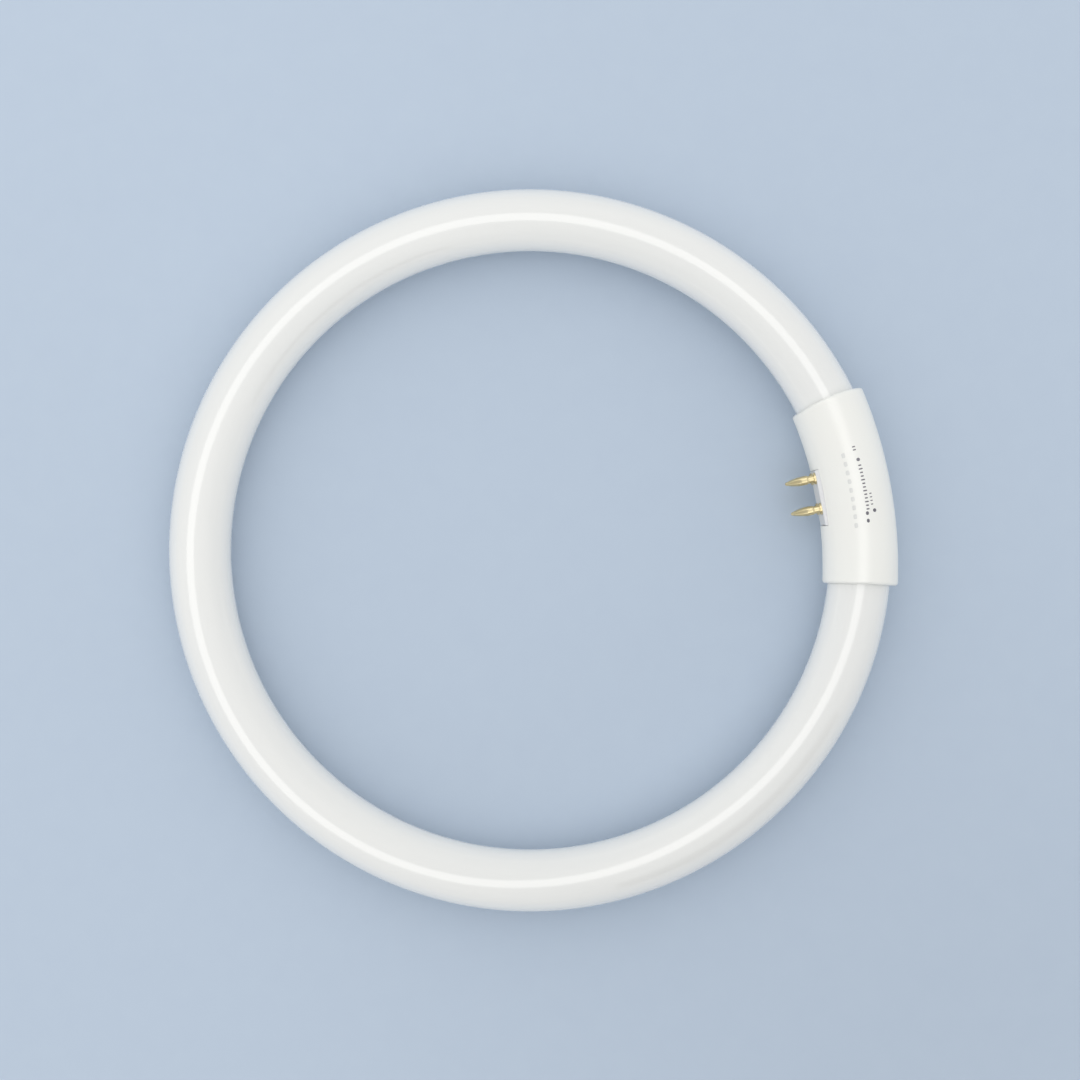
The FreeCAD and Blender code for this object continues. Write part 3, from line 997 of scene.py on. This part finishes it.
@dataclass
class Studio:
    """A painted floor, a soft tent of light, a softbox, a looped strip, a black card, and the camera.

    The looped strip closes on itself. It lies where the camera's view, mirrored in the glass, meets its
    height, so that one thin unbroken line of light runs round the whole ring. It hangs low, so that the
    glass on the ring's other side hardly sees it.
    """

    ring_radius: float = RING_RADIUS
    tube_radius: float = TUBE_RADIUS
    collar_axis_x: float = COLLAR_AXIS_X
    collar_radius: float = COLLAR_RADIUS
    picture_width: float = 279.8  # what the image's full width covers at the ring's middle plane
    camera_height: float = 550.0
    camera_aside: tuple[float, float] = (3.0, 2.13)  # the image's middle from the ring's centre
    camera_turn: float = 11.15  # degrees that the pins' direction stands above the image's right
    sensor_width: float = 36.0
    camera_clip_m: tuple[float, float] = (0.05, 20.0)
    loop_height: float = 40.0
    loop_radiance: float = 1.9
    loop_around: int = 240
    loop_across: int = 7
    reflection_width: float = 1.9  # of the bright line on the glass
    reflection_share: float = 0.495  # its mean place between the tube's outer and inner edge
    # how far the line swings from that place, and at how many degrees of the image, for each wave
    reflection_waves: tuple[tuple[float, float], ...] = ((0.071, 0.9), (0.047, -60.2), (0.018, 56.0))
    softbox_turn: float = 130.0  # degrees of the image, from its right
    softbox_rise: float = 35.0  # degrees
    softbox_far: float = 260.0
    softbox_side: float = 200.0
    softbox_power: float = 0.02
    tent_strength: float = 1.03
    card_turn: float = 308.0  # degrees of the image, from its right
    card_far: float = 250.0
    card_rise: float = 70.0  # of its lower edge over the ring's middle plane
    card_width: float = 220.0
    card_height: float = 120.0
    backdrop: str = "#E4E9EE"
    backdrop_strength: float = 0.65
    floor_reach: float = 4000.0
    floor_points: int = 41
    floor_finish: Finish = field(default_factory=PaintedFloor)
    card_finish: Finish = field(default_factory=BlackCard)

    def camera_place(self) -> Array:
        """Returns the camera's place in millimetres."""
        return np.array([*self.camera_aside, self.camera_height])

    def frame_angle(self, image_degrees: float) -> float:
        """Turns degrees from the image's right to an angle from +X, in radians."""
        return float(np.radians(image_degrees - self.camera_turn))

    def build_camera(self) -> None:
        """Puts the camera over the ring, looking straight down."""
        data = bpy.data.cameras.new("overhead")
        data.sensor_width = self.sensor_width
        data.lens = self.sensor_width * self.camera_height / self.picture_width
        data.clip_start, data.clip_end = self.camera_clip_m
        camera = bpy.data.objects.new("overhead", data)
        camera.location = self.camera_place() * MM
        camera.rotation_euler = (0.0, 0.0, -np.radians(self.camera_turn))
        bpy.context.scene.collection.objects.link(camera)
        bpy.context.scene.camera = camera

    def build_floor(self) -> None:
        """Lays the floor on the two places that the lamp rests on.

        The collar is thicker than the glass, so the floor's height falls in a straight line from the
        glass's lowest point on the far side to the collar's.
        """
        steps = np.linspace(-1.0, 1.0, self.floor_points) * self.floor_reach
        x, y = np.meshgrid(steps, steps, indexing="ij")
        slope = (self.collar_radius - self.tube_radius) / (self.ring_radius + self.collar_axis_x)
        z = -self.collar_radius + (self.collar_axis_x - x) * slope
        points = np.stack([x, y, z], axis=2).reshape(-1, 3)
        faces = grid_faces(self.floor_points, self.floor_points, wrap=False)
        floor = Surface(points, faces).to_object("floor", smooth_below=None)
        self.floor_finish.apply(floor)

    def mirrored_points(self, share: Array, angle: Array) -> Array:
        """Finds where the camera's view, mirrored in the glass, meets the looped strip's height.

        The glass's normal leans out of the ring by the arcsine of one less twice the share. The view's
        direction from the glass to the camera is turned about that normal, and its line is run up to
        the strip's height.

        Args:
            share: place between the tube's outer edge, 0, and inner edge, 1.
            angle: place round the ring, in radians of the image.

        Returns:
            Points in millimetres.
        """
        turned = angle - np.radians(self.camera_turn)
        out = np.stack([np.cos(turned), np.sin(turned), np.zeros_like(turned)], axis=-1)
        lean = np.arcsin(1 - 2 * share)[..., None]
        normal = np.sin(lean) * out + np.cos(lean) * UP
        glass = self.ring_radius * out + self.tube_radius * normal
        view = self.camera_place() - glass
        view /= np.linalg.norm(view, axis=-1, keepdims=True)
        away = 2 * np.sum(view * normal, axis=-1, keepdims=True) * normal - view
        return glass + away * (self.loop_height - glass[..., 2:]) / away[..., 2:]

    def strip_material(self) -> bpy.types.Material:
        """Makes a lit white diffuser, which gives the glass its bright line.

        Returns:
            Its material.
        """
        material = bpy.data.materials.new("strip_diffuser")
        material.use_nodes = True
        tree = material.node_tree
        tree.nodes.clear()
        values = {"Color": linear(WHITE_LIGHT), "Strength": self.loop_radiance}
        glow = add_node(tree, "ShaderNodeEmission", values)
        add_node(tree, "ShaderNodeOutputMaterial", {"Surface": glow.outputs["Emission"]})
        return material

    def build_loop(self) -> None:
        """Makes the looped strip, as wide as the bright line needs. Only reflections see it.

        The line's share is its mean place plus, for the n-th wave, the swing times the cosine of n times
        the angle from where that wave is highest.
        """
        angle = full_turn(self.loop_around)
        share = np.full_like(angle, self.reflection_share)
        for number, (swing, highest) in enumerate(self.reflection_waves, 1):
            share += swing * np.cos(number * (angle - np.radians(highest)))
        half = self.reflection_width / (2 * self.tube_radius) / 2
        across = np.linspace(-half, half, self.loop_across)[:, None]
        points = self.mirrored_points(share + across, angle + 0 * across)
        faces = grid_faces(self.loop_across, self.loop_around, wrap=True)
        strip = Surface(points.reshape(-1, 3), faces).to_object("looped_strip", smooth_below=None)
        strip.data.materials.append(self.strip_material())
        strip.visible_camera = False
        strip.visible_diffuse = False
        strip.visible_shadow = False

    def build_softbox(self) -> None:
        """Hangs a square softbox up to one side, turned to the ring's centre. It leaves no reflection."""
        data = bpy.data.lights.new("softbox", "AREA")
        data.shape = "SQUARE"
        data.size = self.softbox_side * MM
        data.energy = self.softbox_power
        turn = self.frame_angle(self.softbox_turn)
        rise = np.radians(self.softbox_rise)
        way = np.array([np.cos(turn) * np.cos(rise), np.sin(turn) * np.cos(rise), np.sin(rise)])
        softbox = bpy.data.objects.new("softbox", data)
        softbox.location = way * self.softbox_far * MM
        softbox.rotation_euler = (np.pi / 2 - rise, 0.0, turn + np.pi / 2)
        softbox.visible_camera = False
        softbox.visible_glossy = False
        bpy.context.scene.collection.objects.link(softbox)

    def build_card(self) -> None:
        """Hangs a black card beside the ring, across from the softbox, to hold back the tent's light."""
        turn = self.frame_angle(self.card_turn)
        foot = np.array([np.cos(turn) * self.card_far, np.sin(turn) * self.card_far, self.card_rise])
        across = np.array([-np.sin(turn), np.cos(turn), 0.0]) * self.card_width / 2
        up = UP * self.card_height
        points = np.array([foot - across, foot + across, foot + across + up, foot - across + up])
        card = Surface(points, [(0, 1, 2, 3)]).to_object("black_card", smooth_below=None)
        card.visible_camera = False
        self.card_finish.apply(card)

    def build_tent(self) -> None:
        """Lights the object from all round, and shows the backdrop to the rays that see it."""
        world = bpy.data.worlds.new("tent")
        bpy.context.scene.world = world
        world.use_nodes = True
        tree = world.node_tree
        tree.nodes.clear()
        light, shown = (
            add_node(tree, "ShaderNodeBackground", {"Color": linear(colour), "Strength": strength})
            for colour, strength in (
                (WHITE_LIGHT, self.tent_strength),
                (self.backdrop, self.backdrop_strength),
            )
        )
        rays = add_node(tree, "ShaderNodeLightPath")
        sees = rays.outputs[Ray.CAMERA.value]
        for kind in (Ray.GLOSSY, Ray.TRANSMISSION):
            sees = add_node(
                tree, "ShaderNodeMath", {0: sees, 1: rays.outputs[kind.value]}, operation="MAXIMUM"
            ).outputs["Value"]
        mixed = add_node(
            tree,
            "ShaderNodeMixShader",
            {0: sees, 1: light.outputs["Background"], 2: shown.outputs["Background"]},
        )
        add_node(tree, "ShaderNodeOutputWorld", {"Surface": mixed.outputs["Shader"]})

    def build(self) -> None:
        """Makes the whole studio."""
        self.build_camera()
        self.build_floor()
        self.build_loop()
        self.build_softbox()
        self.build_card()
        self.build_tent()
        bpy.context.scene.view_settings.view_transform = "Standard"


def triangles(piece: bpy.types.Object) -> int:
    """Returns how many triangles a mesh has: two fewer than its corners, for each face."""
    return sum(len(face.vertices) - 2 for face in piece.data.polygons)


def main() -> None:
    """Builds the pieces in order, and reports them."""
    Studio().build()
    made = [GlassRing().build(), *Collar().build()]
    Contacts().build()
    Wiring().build()
    for piece in made:
        log.info("piece %s: %d triangles", piece.name, triangles(piece))
    for name in sorted(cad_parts):
        log.info("CAD node %s: %d triangles", name, triangles(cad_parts[name]))


if __name__ == "__main__":
    main()
